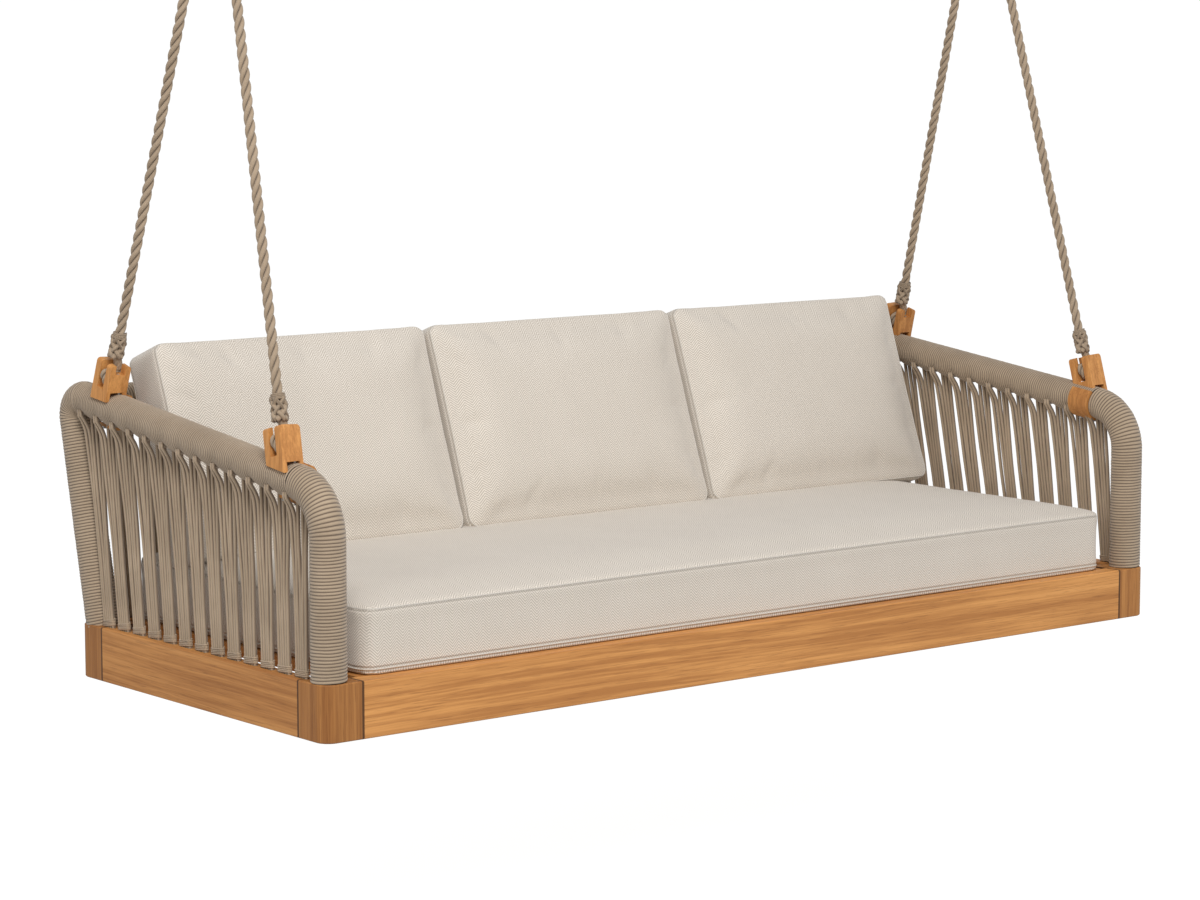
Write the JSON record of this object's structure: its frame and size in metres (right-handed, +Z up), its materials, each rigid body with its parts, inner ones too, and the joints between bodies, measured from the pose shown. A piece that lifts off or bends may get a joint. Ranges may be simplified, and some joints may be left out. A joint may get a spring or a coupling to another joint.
{
  "type": "hanging swing bed",
  "caption": "Hanging swing bed: wooden base, cord-wrapped side frames with strand sides and back, a seat cushion, loose back cushions, and ropes that hang from ceiling swivels.",
  "frame": {"origin": "middle of the box around the part, on its underside", "axes": "+X along the width, to the right seen from the front; +Y from front to back; +Z up"},
  "size_m": [2.1504, 0.9356, 1.685],
  "materials": {
    "wood": "oiled teak, satin",
    "cord": "woven polyolefin cord, matte",
    "rope": "laid polyolefin rope, matte",
    "cloth": "woven outdoor fabric, matte",
    "tube": "mill finish",
    "steel": "satin stainless",
    "dark_steel": "matte black powder coat"
  },
  "bodies": {
    "ceiling": {"left_ceiling_bracket": "dark_steel", "right_ceiling_bracket": "dark_steel", "left_swing_pin": "steel", "right_swing_pin": "steel"},
    "left_link": {"left_swivel": "dark_steel", "left_upper_pin": "steel"},
    "left_ropes": {"front_left_rope": "rope", "back_left_rope": "rope"},
    "bed": {"front_rail": "wood", "rear_rail": "wood", "left_side_rail": "wood", "right_side_rail": "wood", "front_left_block": "wood", "front_right_block": "wood", "rear_left_block": "wood", "rear_right_block": "wood", "front_ledger": "wood", "rear_ledger": "wood", "seat_slats": "wood", "left_front_leg_tube": "tube", "right_front_leg_tube": "tube", "left_arm_tube": "tube", "right_arm_tube": "tube", "left_back_leg_tube": "tube", "right_back_leg_tube": "tube", "back_rail_tube": "tube", "left_front_leg_wrap": "cord", "right_front_leg_wrap": "cord", "left_arm_wrap": "cord", "right_arm_wrap": "cord", "left_back_leg_wrap": "cord", "right_back_leg_wrap": "cord", "back_rail_wrap": "cord", "left_side_strands": "cord", "right_side_strands": "cord", "back_strands": "cord", "seat_cushion": "cloth", "left_back_cushion": "cloth", "middle_back_cushion": "cloth", "right_back_cushion": "cloth", "front_left_hanger": "wood", "front_right_hanger": "wood", "back_left_hanger": "wood", "back_right_hanger": "wood", "front_left_collar": "wood", "front_right_collar": "wood", "back_left_collar": "wood", "back_right_collar": "wood", "rope_pins": "steel", "hanger_screws": "steel"},
    "right_ropes": {"front_right_rope": "rope", "back_right_rope": "rope"},
    "right_link": {"right_swivel": "dark_steel", "right_upper_pin": "steel"}
  },
  "joints": [
    {"name": "swing", "type": "hinge", "parent": "ceiling", "child": "left_link", "pos_m": [-0.991, -0.02278, 1.655], "axis": [1, 0, 0], "range_deg": [-15, 15]},
    {"name": "sway", "type": "hinge", "parent": "left_link", "child": "left_ropes", "pos_m": [-0.991, -0.02278, 1.59], "axis": [0, 0.9922, 0.1245], "range_deg": [-5, 5]},
    {"name": "left_ropes_to_bed", "type": "hinge", "parent": "left_ropes", "child": "bed", "pos_m": [-1.05, -0.30657, 0.52611], "axis": [0, 0.9922, 0.1245], "range_deg": [-5, 5]},
    {"name": "right_ropes_to_bed", "type": "hinge", "parent": "bed", "child": "right_ropes", "pos_m": [1.05, -0.30657, 0.52611], "axis": [0, 0.9922, 0.1245], "range_deg": [-5, 5]},
    {"name": "right_link_to_ropes", "type": "hinge", "parent": "right_ropes", "child": "right_link", "pos_m": [0.991, -0.02278, 1.59], "axis": [0, 0.9922, 0.1245], "range_deg": [-5, 5]}
  ],
  "couplings": [
    {"joint": "left_ropes_to_bed", "follows": "sway", "ratio": -0.94381},
    {"joint": "right_ropes_to_bed", "follows": "sway", "ratio": 0.94381},
    {"joint": "right_link_to_ropes", "follows": "sway", "ratio": -1}
  ]
}
